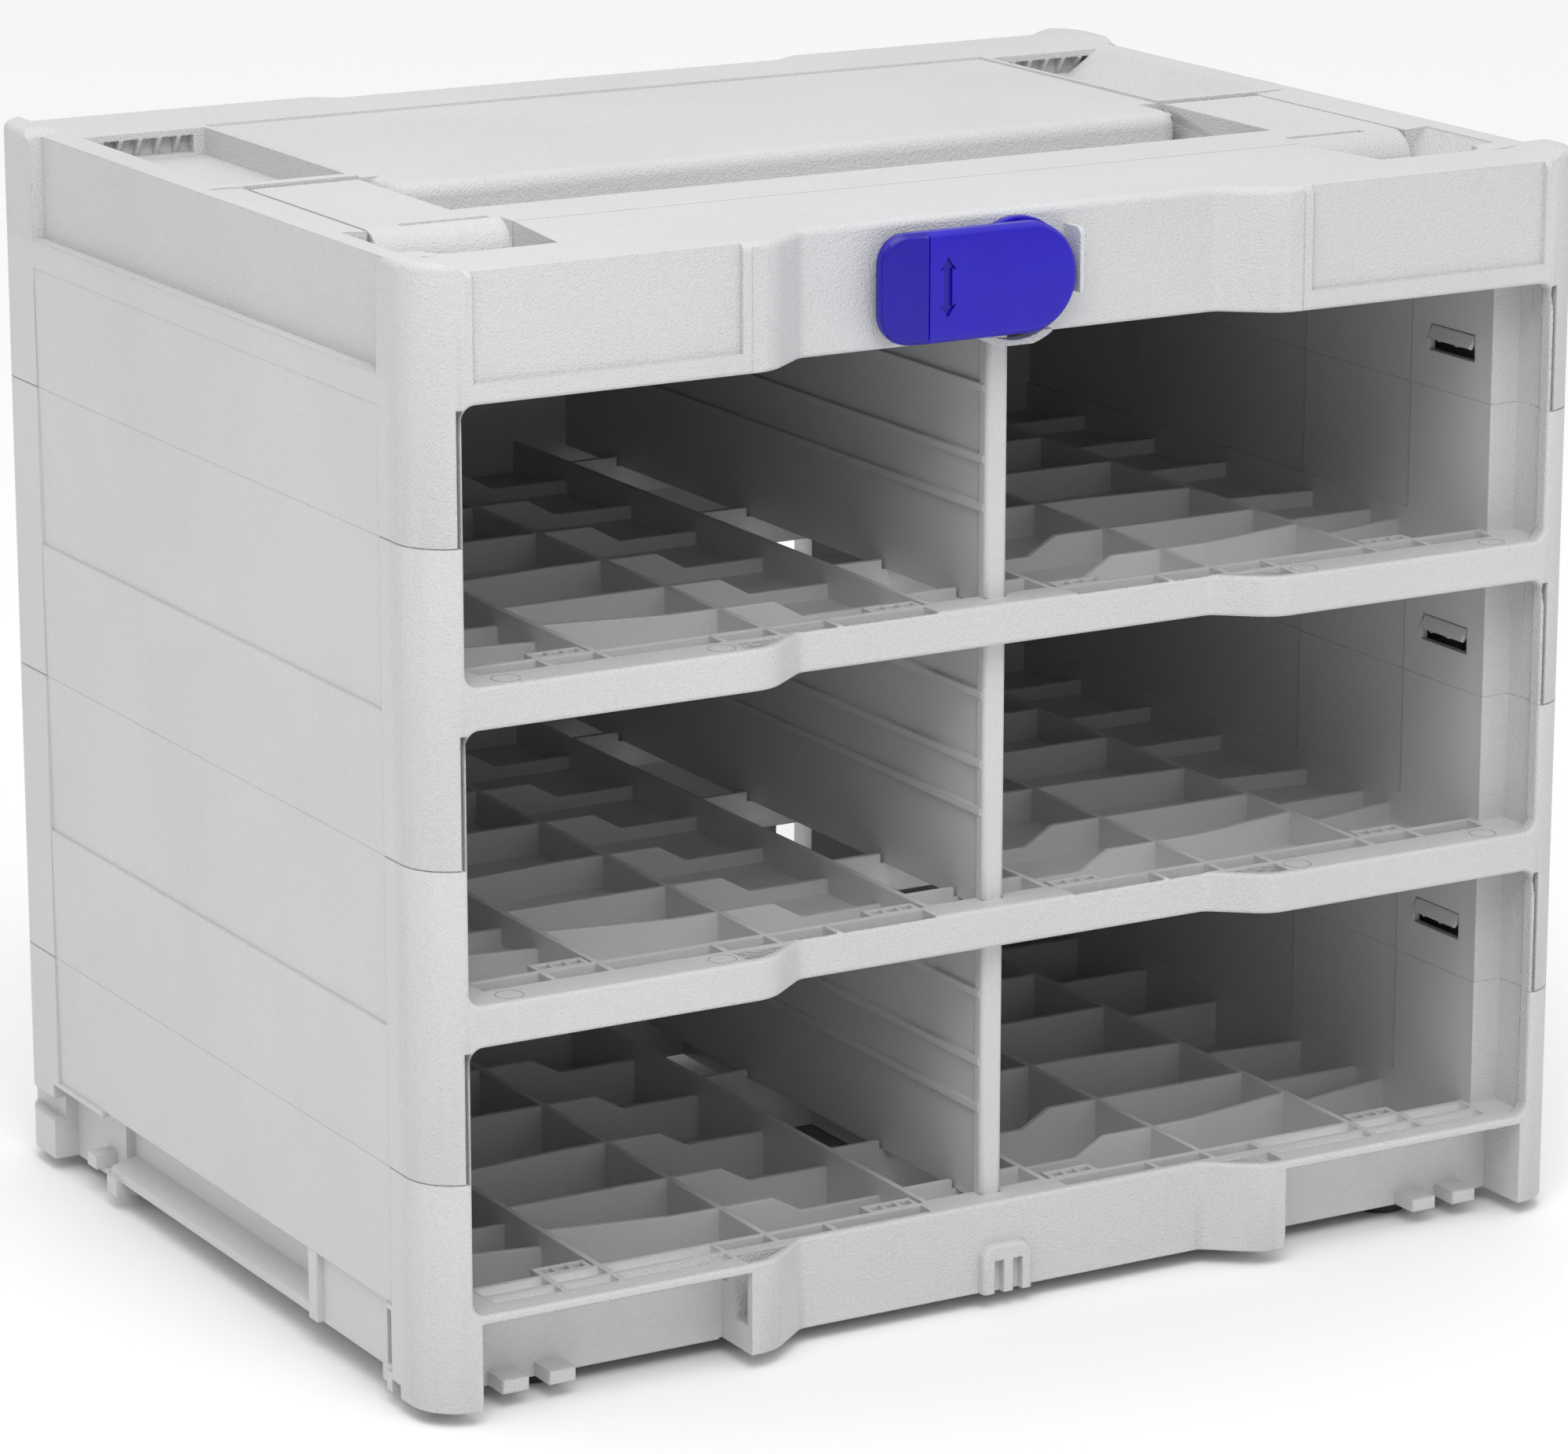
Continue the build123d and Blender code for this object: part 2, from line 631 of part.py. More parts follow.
def plateau_nose():
    """The rounded front end of the plateau, at the back of the trough."""
    nose = block(-NOSE_HALF, NOSE_HALF, PLATEAU_FRONT, WELL_REAR + 1, TROUGH_FLOOR - 1, DECK_TOP)
    corners = nose.edges().filter_by(Axis.Z).group_by(Axis.Y)[0]
    nose = fillet(corners, NOSE_CORNER)
    brow = [edge for edge in nose.edges()
            if edge.bounding_box().min.Z > DECK_TOP - 0.01 and edge.center().Y < PLATEAU_FRONT + 3]
    return fillet(brow, NOSE_ROUND)


def latch_guard():
    """The upright wall beside the latch hub and the round boss that closes the lintel below it."""
    recess_y = FRONT + FRONT_RECESS
    front = LEVER_BACK + WALL_GAP
    wall = block(CAM_RADIUS + 0.4, CAM_RADIUS + 2.1, LEVER_FRONT + 1.5, recess_y + 1,
                 LATCH_Z - 6, LATCH_Z + 13)
    wall_top = wall.edges().filter_by(Axis.X).group_by(Axis.Z)[-1].sort_by(Axis.Y)[0]
    wall = fillet(wall_top, 2.5)
    outer = rod(21.5, (0, front, LATCH_Z), (0, recess_y + 1, LATCH_Z))
    inner = rod(19.2, (0, front - 1, LATCH_Z), (0, recess_y + 2, LATCH_Z))
    foot = block(-12, 12, front, recess_y + 1, CEILING - 2.5, LATCH_Z - 17)
    return [wall, (outer - inner) & foot]


def rounded_top(height):
    """The outline's top layer at a height, with its upper edge rounded."""
    layer = storey_prism(RIM_TOP - 2 * RIM_ROUND, height)
    edges = [edge for edge in layer.edges() if edge.bounding_box().min.Z > height - 0.01]
    return fillet(edges, RIM_ROUND)


def raised_rim():
    """The rim at the sides and the rear, a little above the deck."""
    layer = rounded_top(RIM_TOP)
    low, high = RIM_TOP - 2 * RIM_ROUND, RIM_TOP + 1
    keep = both_blocks(PLATEAU_HALF, FAR, WELL_REAR, REAR + 1, low, high)
    ramp = [(WELL_OUTER, low), (WELL_OUTER, DECK_TOP), (190, high - 1), (FAR, high - 1), (FAR, low)]
    keep += [long_prism([(side * x, z) for x, z in ramp], -122, WELL_REAR) for side in SIDES]
    keep.append(block(-PLATEAU_HALF, PLATEAU_HALF, PLATEAU_BACK, REAR + 1, low, high))
    return layer & (Part() + keep)


def corner_crowns():
    """Low raised lands on the four corners of the rim, with ramps down to it."""
    layer = rounded_top(HEIGHT)
    base = RIM_TOP - 2 * RIM_ROUND
    inner_x, land = 184.0, 6.0
    lands = []
    for start, end, ramp in ((FRONT - 1, -122.5, -5), (118, REAR + 1, 5)):
        for side in SIDES:
            across = [(inner_x - 2, base), (inner_x, DECK_TOP), (inner_x + land, HEIGHT + 0.2),
                      (FAR, HEIGHT + 0.2), (FAR, base)]
            ridge = long_prism([(side * x, z) for x, z in across], start, end)
            edge_y, far_y = (end, start) if ramp < 0 else (start, end)
            along = [(edge_y, base), (edge_y, DECK_TOP - 0.5), (edge_y + ramp, HEIGHT + 0.2),
                     (far_y, HEIGHT + 0.2), (far_y, base)]
            ends = sorted((side * (inner_x - 3), side * FAR))
            lands.append(layer & ridge & cross_prism(along, *ends))
    return lands


def top_housing():
    body, low, high, rows = storey(ROW_COUNT)
    rim = [edge for edge in body.edges() if edge.bounding_box().min.Z > DECK_TOP - 0.01]
    body = fillet(rim, RIM_ROUND)
    body = fillet(front_edges(body), EDGE_ROUND)
    body = finish_storey(body, low, high, rows)
    body = body + raised_rim() + corner_crowns()
    body -= wall_hollows(low - 1, CEILING)
    cuts = []
    # side faces of the rim are set back between the corners
    cuts += both_blocks(HALF_WIDTH - 4, FAR, -122, 116, 303.5, RIM_TOP + 3)
    # blank label fields on the lintel, and the shallow step where its bends begin
    cuts += both_blocks(96.5, 181, FRONT - 1, FRONT + LABEL_DEPTH, 303.0, RIM_TOP + 3)
    cuts += both_blocks(80, 93.4, FRONT - 1, FRONT + 0.3, CEILING - 3, RIM_TOP + 3)
    # trough behind the bar, and the bar's own seat
    cuts.append(block(-ARM_INNER, ARM_INNER, BAR_REAR - 1, WELL_REAR, TROUGH_FLOOR, RIM_TOP + 2))
    cuts.append(block(-ARM_INNER, ARM_INNER, BAR_FRONT - BAR_SEAM, BAR_REAR,
                      ARM_BOTTOM - HANDLE_GAP, RIM_TOP + 2))
    for side in SIDES:
        cuts += rear_pocket(side)
        cuts += handle_space(side)
    body = body - cuts + plateau_nose()
    # hollows under the deck
    wall_y = FRONT + FRONT_RECESS + LINTEL_WALL
    cuts = hollow_grid(-132, 132, wall_y, -87, DECK_TOP - 3, 8, 2)
    cuts += hollow_grid(-132, 132, -84, -19, TROUGH_FLOOR - 3, 8, 2)
    cuts += hollow_grid(-132, 132, -11, 132, DECK_TOP - 3, 8, 4)
    for side in SIDES:
        low_x, high_x = sorted((side * 136.0, side * 174.0))
        cuts += hollow_grid(low_x, high_x, -141, 0, TROUGH_FLOOR - 3, 1, 4)
        cuts += hollow_grid(low_x, high_x, 13, 132, RIM_TOP - 8.5 - 3, 1, 4)
    # room for the latch's washer and screw, and holes for its stub shaft and the handle's pins
    cuts.append(block(-11, 11, wall_y, wall_y + 7, LATCH_Z - 11, DECK_TOP - 3))
    cuts.append(rod(STUB_RADIUS + RUNNING_GAP, (0, FRONT, LATCH_Z), (0, wall_y + 1, LATCH_Z)))
    for side in SIDES:
        cuts.append(rod(PIN_RADIUS, (side * PIN_INNER, PIVOT_Y, PIVOT_Z),
                        (side * PIN_OUTER, PIVOT_Y, PIVOT_Z)))
    return body - cuts + latch_guard()


# ---------------------------------------------------------------- dividers
def divider(row):
    """An upright wall between two bays, with three guide ribs on each face."""
    floor = bay_floor(row)
    half = DIVIDER_THICKNESS / 2
    wall = block(-half + 1.2, half - 1.2, DIVIDER_FRONT + 2, BAY_BACK,
                 floor - DIVIDER_FOOT, floor + OPENING_HEIGHT)
    bead = block(-half, half, DIVIDER_FRONT, DIVIDER_FRONT + 4,
                 floor - DIVIDER_FOOT, floor + OPENING_HEIGHT)
    upright = [edge for edge in bead.edges().filter_by(Axis.Z)
               if edge.center().Y < DIVIDER_FRONT + 1]
    bead = fillet(upright, 1.5)
    guides = []
    for height in GUIDE_HEIGHTS:
        low = floor + height - GUIDE_TALL / 2
        reach = half - 1.2 + GUIDE_PROUD
        guides.append(block(-reach, reach, DIVIDER_FRONT + 1.5, BAY_BACK, low, low + GUIDE_TALL))
    return wall + bead + guides


# ---------------------------------------------------------------- drawer catches
def drawer_catch(row, side):
    """A sprung tongue that leans out of the side wall's window, with two gussets."""
    low = bay_floor(row) + 51.5
    top = low + 8.5
    back = BAY_HALF + INNER_SKIN + 0.1
    section = [(back + 1.4, top + 3), (back, top + 3), (back, top - 0.4), (BAY_HALF + 0.6, top - 0.6),
               (BAY_HALF - 1.6, low + 4.0), (BAY_HALF - 0.4, low + 3.6),
               (BAY_HALF + 1.8, top - 2.2), (back + 1.4, top - 2.0)]
    tongue = long_prism([(side * x, z) for x, z in section], -120, -98)
    gussets = []
    for y in (-114.0, -105.0):
        rib = [(BAY_HALF + 0.2, low + 6.6), (BAY_HALF - 1.9, low + 3.7), (BAY_HALF - 0.2, low + 3.8)]
        gussets.append(long_prism([(side * x, z) for x, z in rib], y, y + 1.0))
    return tongue + gussets


# ---------------------------------------------------------------- carry handle
def carry_handle():
    """A U-shaped bow: two flat arms and a bar whose nose is rolled over the finger pockets."""
    half = ARM_OUTER
    section = [(BAR_REAR, ARM_BOTTOM), (BAR_REAR, ARM_TOP), (BAR_FRONT, ARM_TOP),
               (BAR_FRONT, ARM_BOTTOM + BAR_CHAMFER), (BAR_FRONT + BAR_CHAMFER, ARM_BOTTOM)]
    bow = cross_prism(section, -half, half)
    front_top = [edge for edge in bow.edges().filter_by(Axis.X)
                 if edge.center().Y < BAR_FRONT + 0.1 and edge.center().Z > ARM_TOP - 0.1]
    bow = fillet(front_top, BAR_NOSE_ROUND)
    bow += block(-BAR_NOSE_START, BAR_NOSE_START, BAR_FRONT, BAR_FRONT + BAR_NOSE_ROUND + 1,
                 ARM_BOTTOM + BAR_CHAMFER, ARM_TOP)
    for side in SIDES:
        arm = side_block(side, ARM_INNER, ARM_OUTER, BAR_REAR - 1, ARM_REAR, ARM_BOTTOM, ARM_TOP)
        rear = arm.edges().filter_by(Axis.X).group_by(Axis.Y)[-1]
        bow += fillet(rear, ARM_REAR_ROUND)
        bow -= side_block(side, 138, 166, -74.5, -71.5, ARM_TOP - 1, ARM_TOP + 1)
        bow -= rod(PIN_RADIUS + RUNNING_GAP, (side * (ARM_INNER - 2), PIVOT_Y, PIVOT_Z),
                   (side * (ARM_OUTER + 2), PIVOT_Y, PIVOT_Z))
    return bow


def handle_pin(side):
    return rod(PIN_RADIUS, (side * PIN_INNER, PIVOT_Y, PIVOT_Z),
               (side * PIN_OUTER, PIVOT_Y, PIVOT_Z))


# ---------------------------------------------------------------- turn latch
def latch_lever():
    """A flat lever, round at the hub end, with a grip that slopes back at the other end."""
    hub = rod(LEVER_HALF, (0, LEVER_FRONT, LATCH_Z), (0, LEVER_BACK, LATCH_Z))
    plate = block(-LEVER_END, 0, LEVER_FRONT, LEVER_BACK, LATCH_Z - LEVER_HALF, LATCH_Z + LEVER_HALF)
    corners = plate.edges().filter_by(Axis.Y).group_by(Axis.X)[0]
    plate = fillet(corners, LEVER_CORNER)
    slope = plan_prism([(GRIP_START, LEVER_FRONT - 1), (GRIP_START, LEVER_FRONT),
                        (-LEVER_END, LEVER_FRONT + 3.2), (-LEVER_END - 1, LEVER_FRONT + 3.4),
                        (-LEVER_END - 1, LEVER_FRONT - 1)],
                       LATCH_Z - 20, LATCH_Z + 20)
    stub_end = FRONT + FRONT_RECESS + LINTEL_WALL + WALL_GAP
    stub = rod(STUB_RADIUS, (0, LEVER_BACK - 1, LATCH_Z), (0, stub_end, LATCH_Z))
    pilot = rod(SCREW_RADIUS, (0, stub_end - 7, LATCH_Z), (0, stub_end + 1, LATCH_Z))
    return hub + plate - slope + stub - pilot


def latch_cam():
    """The cam disc behind the lever, with a snail-shaped flank that pulls on the keeper."""
    back = FRONT + FRONT_RECESS - WALL_GAP
    disc = rod(CAM_RADIUS, (0, LEVER_BACK, LATCH_Z), (0, back, LATCH_Z))
    return disc - rod(STUB_RADIUS, (0, LEVER_BACK - 1, LATCH_Z), (0, back + 1, LATCH_Z))


STUB_END = FRONT + FRONT_RECESS + LINTEL_WALL + WALL_GAP


def latch_washer():
    washer = rod(9.0, (0, STUB_END, LATCH_Z), (0, STUB_END + 1.5, LATCH_Z))
    return washer - rod(SCREW_RADIUS + 0.2, (0, STUB_END - 1, LATCH_Z), (0, STUB_END + 3, LATCH_Z))


def latch_screw():
    shank = rod(SCREW_RADIUS, (0, STUB_END - 6.5, LATCH_Z), (0, STUB_END + 2, LATCH_Z))
    head_start = STUB_END + 1.5
    head = rod(4.0, (0, head_start, LATCH_Z), (0, head_start + 2.6, LATCH_Z))
    return shank + head


# ---------------------------------------------------------------- feet and storey screws
def rubber_foot(x, y):
    foot = rod(FOOT_RADIUS, (x, y, 0), (x, y, BASE_UNDERSIDE))
    rim = foot.edges().group_by(Axis.Z)[0]
    return fillet(rim, 1.5)


def storey_screws(seam):
    """The four screws that hold one storey to the next."""
    screws = []
    for x, y in SCREW_PLACES:
        for side in SIDES:
            at = (side * x, y)
            under = seam - SCREW_BELOW_SEAM
            shank = rod(SCREW_RADIUS, (*at, under - 1), (*at, seam + SCREW_ABOVE_SEAM - 1))
            head = rod(SCREW_HEAD_RADIUS, (*at, under - SCREW_HEAD_HEIGHT), (*at, under))
            screws.append(shank + head)
    return Compound([screw.solid() for screw in screws])


# ---------------------------------------------------------------- every node
nodes = {
    "base_tray": base_tray(),
    "lower_shelf": shelf(1),
    "upper_shelf": shelf(2),
    "top_housing": top_housing(),
    "carry_handle": carry_handle(),
    "latch_lever": latch_lever(),
    "latch_cam": latch_cam(),
    "latch_washer": latch_washer(),
    "latch_screw": latch_screw(),
}
ROW_NAMES = ("bottom", "middle", "top")
SIDE_NAMES = {-1: "left", 1: "right"}
for row, row_name in enumerate(ROW_NAMES):
    nodes[f"divider_{row_name}"] = divider(row)
    for side, side_name in SIDE_NAMES.items():
        nodes[f"drawer_catch_{row_name}_{side_name}"] = drawer_catch(row, side)
for side, side_name in SIDE_NAMES.items():
    nodes[f"handle_pin_{side_name}"] = handle_pin(side)
    for end_name, (x, y) in zip(("front", "rear"), FOOT_PLACES):
        nodes[f"rubber_foot_{end_name}_{side_name}"] = rubber_foot(side * x, y)
for seam, name in zip(SEAMS, ("lower", "middle", "upper")):
    nodes[f"storey_screws_{name}"] = storey_screws(seam)

for name, shape in nodes.items():
    export_step(shape, f"parts/{name}.step")
    print(name, len(shape.solids()), round(shape.volume))
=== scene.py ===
import bpy
import bmesh
import json
import math
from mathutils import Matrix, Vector


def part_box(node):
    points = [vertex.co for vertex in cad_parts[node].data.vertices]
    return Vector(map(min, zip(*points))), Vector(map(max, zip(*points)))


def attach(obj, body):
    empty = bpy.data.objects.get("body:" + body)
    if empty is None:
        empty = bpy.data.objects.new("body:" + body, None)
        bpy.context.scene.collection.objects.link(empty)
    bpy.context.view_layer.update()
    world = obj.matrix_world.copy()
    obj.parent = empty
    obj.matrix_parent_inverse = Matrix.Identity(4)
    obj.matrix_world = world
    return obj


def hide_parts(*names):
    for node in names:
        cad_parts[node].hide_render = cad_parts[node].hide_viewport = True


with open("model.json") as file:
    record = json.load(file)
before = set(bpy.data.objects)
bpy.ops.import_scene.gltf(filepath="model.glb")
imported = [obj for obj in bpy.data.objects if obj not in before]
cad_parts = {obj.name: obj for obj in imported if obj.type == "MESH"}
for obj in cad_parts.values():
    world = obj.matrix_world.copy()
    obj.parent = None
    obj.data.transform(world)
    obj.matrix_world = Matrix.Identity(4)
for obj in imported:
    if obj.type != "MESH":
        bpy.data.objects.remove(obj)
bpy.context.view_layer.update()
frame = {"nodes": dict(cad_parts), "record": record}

nodes = frame["nodes"]
MM = 0.001

# ---------------------------------------------------------------- camera
CAMERA_YAW = 29.9
CAMERA_PITCH = 14.7
CAMERA_LENS = 143.0
CAMERA_SENSOR = 36
CAMERA_PLACE = (-0.9402, -1.6383, 0.6445)


def make_camera():
    """A long lens from the front left, a little above, with no shift and no depth of field."""
    data = bpy.data.cameras.new("camera")
    data.lens = CAMERA_LENS
    data.sensor_width = CAMERA_SENSOR
    camera = bpy.data.objects.new("camera", data)
    camera.location = CAMERA_PLACE
    camera.rotation_euler = (math.radians(90 - CAMERA_PITCH), 0, math.radians(-CAMERA_YAW))
    bpy.context.scene.collection.objects.link(camera)
    bpy.context.scene.camera = camera


# ---------------------------------------------------------------- studio
SKY_AT_HORIZON = 0.40
SKY_OVERHEAD = 1.28
FLOOR_HALF = 20.0
FLOOR_TONE = (0.92, 0.92, 0.92, 1)
KEY_PLACE = (-0.42, -0.85, 1.35)
KEY_TARGET = (0, 0, 0.17)
KEY_SIZE = (0.9, 0.9)
KEY_POWER = 9


def area_light(name, place, target, size, power):
    data = bpy.data.lights.new(name, "AREA")
    data.shape = "RECTANGLE"
    data.size, data.size_y = size
    data.energy = power
    light = bpy.data.objects.new(name, data)
    light.location = place
    direction = Vector(target) - Vector(place)
    light.rotation_euler = direction.to_track_quat("-Z", "Y").to_euler()
    bpy.context.scene.collection.objects.link(light)


def make_sky():
    """A soft dome, bright overhead and dimmer towards the horizon."""
    world = bpy.data.worlds.new("studio")
    world.use_nodes = True
    tree = world.node_tree
    background = tree.nodes["Background"]
    background.inputs["Color"].default_value = (1, 1, 1, 1)
    direction = tree.nodes.new("ShaderNodeTexCoord")
    split = tree.nodes.new("ShaderNodeSeparateXYZ")
    climb = tree.nodes.new("ShaderNodeMapRange")
    climb.inputs["To Min"].default_value = SKY_AT_HORIZON
    climb.inputs["To Max"].default_value = SKY_OVERHEAD
    tree.links.new(direction.outputs["Generated"], split.inputs["Vector"])
    tree.links.new(split.outputs["Z"], climb.inputs["Value"])
    tree.links.new(climb.outputs["Result"], background.inputs["Strength"])
    bpy.context.scene.world = world


def make_studio():
    """The dome, one large soft key light and a pale floor."""
    make_sky()
    scene = bpy.context.scene
    scene.view_settings.view_transform = "Standard"
    area_light("key_soft", KEY_PLACE, KEY_TARGET, KEY_SIZE, KEY_POWER)
    mesh = bpy.data.meshes.new("floor")
    build = bmesh.new()
    bmesh.ops.create_grid(build, x_segments=1, y_segments=1, size=FLOOR_HALF)
    build.to_mesh(mesh)
    build.free()
    floor = bpy.data.objects.new("floor", mesh)
    scene.collection.objects.link(floor)
    paper = bpy.data.materials.new("floor_paper")
    paper.use_nodes = True
    shader = paper.node_tree.nodes["Principled BSDF"]
    shader.inputs["Base Color"].default_value = FLOOR_TONE
    shader.inputs["Roughness"].default_value = 1.0
    shader.inputs["Specular IOR Level"].default_value = 0.0
    mesh.materials.append(paper)


# ---------------------------------------------------------------- materials
class Shader:
    """A short way to wire shader nodes."""

    def __init__(self, name):
        self.material = bpy.data.materials.new(name)
        self.material.use_nodes = True
        self.tree = self.material.node_tree
        self.principled = self.tree.nodes["Principled BSDF"]
        self.place = self.add("ShaderNodeTexCoord").outputs["Object"]

    def add(self, kind, **settings):
        node = self.tree.nodes.new(kind)
        for key, value in settings.items():
            setattr(node, key, value)
        return node

    def link(self, output, target):
        self.tree.links.new(output, target)

    def noise(self, scale, detail=2.0, roughness=0.5, distortion=0.0):
        node = self.add("ShaderNodeTexNoise")
        node.inputs["Scale"].default_value = scale
        node.inputs["Detail"].default_value = detail
        node.inputs["Roughness"].default_value = roughness
        node.inputs["Distortion"].default_value = distortion
        self.link(self.place, node.inputs["Vector"])
        return node.outputs["Fac"]

    def remap(self, value, low, high, to_low, to_high):
        node = self.add("ShaderNodeMapRange")
        node.inputs["From Min"].default_value = low
        node.inputs["From Max"].default_value = high
        node.inputs["To Min"].default_value = to_low
        node.inputs["To Max"].default_value = to_high
        self.link(value, node.inputs["Value"])
        return node.outputs["Result"]

    def math(self, operation, first, second):
        node = self.add("ShaderNodeMath", operation=operation)
        for socket, value in zip(node.inputs, (first, second)):
            if isinstance(value, (int, float)):
                socket.default_value = value
            else:
                self.link(value, socket)
        return node.outputs["Value"]

    def axes(self):
        node = self.add("ShaderNodeSeparateXYZ")
        self.link(self.place, node.inputs["Vector"])
        return node.outputs["X"], node.outputs["Y"], node.outputs["Z"]

    def colours(self, factor, first, second):
        node = self.add("ShaderNodeMix", data_type="RGBA")
        node.inputs["A"].default_value = (*first, 1)
        node.inputs["B"].default_value = (*second, 1)
        self.link(factor, node.inputs["Factor"])
        return node.outputs["Result"]

    def bump(self, height, distance, normal=None):
        node = self.add("ShaderNodeBump")
        node.inputs["Distance"].default_value = distance
        self.link(height, node.inputs["Height"])
        if normal is not None:
            self.link(normal, node.inputs["Normal"])
        return node.outputs["Normal"]


EDGE_ROUNDING = 0.0007
EDGE_SAMPLES = 4
GRAIN_SCALE = 1500.0
GRAIN_DEPTH = 0.00042
GRAIN_ON_SIDES = 0.4
GRAIN_INSIDE = 0.08
# The grain fades in between these two depths, heights and distances from the middle.
GRAIN_FRONT_Y = (-0.126, -0.131)
GRAIN_TOP_Z = (0.300, 0.304)
GRAIN_SIDE_X = (0.190, 0.194)
SINK_SCALE = 16.0
SINK_DEPTH = 0.0004
RACK_DARK = (0.550, 0.556, 0.566)
RACK_LIGHT = (0.590, 0.596, 0.604)
CLOUD_SHARE = 0.65
SPECK_SHARE = 0.35


def grain_strength(shader):
    """How strong the eroded grain is: full on the front and the top, less on the sides, faint inside."""
    x, y, z = shader.axes()
    front = shader.remap(y, *GRAIN_FRONT_Y, GRAIN_INSIDE, 1.0)
    top = shader.remap(z, *GRAIN_TOP_Z, GRAIN_INSIDE, 1.0)
    across = shader.math("ABSOLUTE", x, 0.0)
    side = shader.remap(across, *GRAIN_SIDE_X, GRAIN_INSIDE, GRAIN_ON_SIDES)
    return shader.math("MAXIMUM", shader.math("MAXIMUM", front, top), side)


def rack_plastic():
    """Light grey moulded plastic: eroded grain outside, satin inside, with faint flow and sink marks."""
    shader = Shader("rack_plastic")
    clouds = shader.remap(shader.noise(11.0, 3.0, 0.55, 0.4), 0.35, 0.65, 0.0, 1.0)
    specks = shader.remap(shader.noise(620.0, 2.0), 0.40, 0.62, 0.0, 1.0)
    tone = shader.math("ADD", shader.math("MULTIPLY", clouds, CLOUD_SHARE),
                       shader.math("MULTIPLY", specks, SPECK_SHARE))
    shader.link(shader.colours(tone, RACK_DARK, RACK_LIGHT), shader.principled.inputs["Base Color"])
    strength = grain_strength(shader)
    patches = shader.remap(shader.noise(30.0, 4.0), 0.3, 0.7, -0.05, 0.05)
    gloss = shader.remap(strength, 0.0, 1.0, 0.40, 0.56)
    shader.link(shader.math("ADD", gloss, patches), shader.principled.inputs["Roughness"])
    grain = shader.math("MULTIPLY", shader.noise(GRAIN_SCALE, 1.5, 0.45), strength)
    rounded = shader.add("ShaderNodeBevel", samples=EDGE_SAMPLES)
    rounded.inputs["Radius"].default_value = EDGE_ROUNDING
    sinks = shader.bump(shader.noise(SINK_SCALE, 1.0), SINK_DEPTH, rounded.outputs["Normal"])
    shader.link(shader.bump(grain, GRAIN_DEPTH, sinks), shader.principled.inputs["Normal"])
    return shader.material


GRIP_EDGE = -0.0346
GRIP_FADE = 0.0003
ARROW_FROM_GRIP = 0.0065
ARROW_HALF_WIDTH = 0.003
ARROW_HALF_HEIGHT = 0.0095
ARROW_FLOOR = 0.0004
# The lever's colour with painted shade, used on the sloping grip and in the sunk arrow.
LATCH_PAINTED_SHADE = (0.007, 0.001, 0.300)
LATCH_BRIGHT = (0.012, 0.003, 0.430)
LATCH_SPECULAR = 0.38
LATCH_BUMP = 0.00003


def inside_arrow(shader):
    """One in the sunk arrow of the lever, nought elsewhere: the place where shade is painted into the
    arrow's recess.
    """
    x, y, z = shader.axes()
    low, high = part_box("latch_lever")
    across = shader.math("ABSOLUTE", shader.math("SUBTRACT", x, GRIP_EDGE + ARROW_FROM_GRIP), 0.0)
    near = shader.math("LESS_THAN", across, ARROW_HALF_WIDTH)
    along = shader.math("ABSOLUTE", shader.math("SUBTRACT", z, (low[2] + high[2]) / 2), 0.0)
    level = shader.math("LESS_THAN", along, ARROW_HALF_HEIGHT)
    sunk = shader.math("GREATER_THAN", y, low[1] + ARROW_FLOOR)
    return shader.math("MULTIPLY", shader.math("MULTIPLY", near, level), sunk)


def latch_plastic():
    """Blue-violet satin plastic with a very fine surface, with shade painted as a darker colour onto the
    sloping grip and into the sunk arrow.
    """
    shader = Shader("latch_plastic")
    clouds = shader.remap(shader.noise(60.0, 3.0), 0.35, 0.65, -0.15, 0.15)
    # Painted shade: the sloping grip and the arrow's recess take the darker colour, and the flat face takes
    # the lighter one.
    face = shader.remap(shader.axes()[0], GRIP_EDGE - GRIP_FADE, GRIP_EDGE + GRIP_FADE, 0.0, 0.85)
    painted_shade_factor = shader.math("SUBTRACT", face, inside_arrow(shader))
    tone = shader.math("ADD", painted_shade_factor, clouds)
    shader.link(shader.colours(tone, LATCH_PAINTED_SHADE, LATCH_BRIGHT), shader.principled.inputs["Base Color"])
    patches = shader.noise(170.0, 4.0)
    shader.link(shader.remap(patches, 0.3, 0.7, 0.30, 0.38), shader.principled.inputs["Roughness"])
    shader.principled.inputs["Specular IOR Level"].default_value = LATCH_SPECULAR
    fine = shader.noise(1900.0, 2.0, 0.5)
    shader.link(shader.bump(fine, LATCH_BUMP), shader.principled.inputs["Normal"])
    return shader.material


RUBBER_DARK = (0.022, 0.022, 0.024)
RUBBER_DUST = (0.060, 0.060, 0.062)
RUBBER_BUMP = 0.0002


def rubber():
    """Matte dark rubber with dust in its pores."""
    shader = Shader("rubber")
    dust = shader.remap(shader.noise(420.0, 4.0, 0.6), 0.45, 0.75, 0.0, 1.0)
    shader.link(shader.colours(dust, RUBBER_DARK, RUBBER_DUST),
                shader.principled.inputs["Base Color"])
    shader.link(shader.remap(dust, 0.0, 1.0, 0.68, 0.85), shader.principled.inputs["Roughness"])
    shader.link(shader.bump(shader.noise(900.0, 3.0), RUBBER_BUMP), shader.principled.inputs["Normal"])
    return shader.material


STEEL_DARK = (0.50, 0.50, 0.51)
STEEL_LIGHT = (0.62, 0.62, 0.64)
STEEL_BUMP = 0.00002


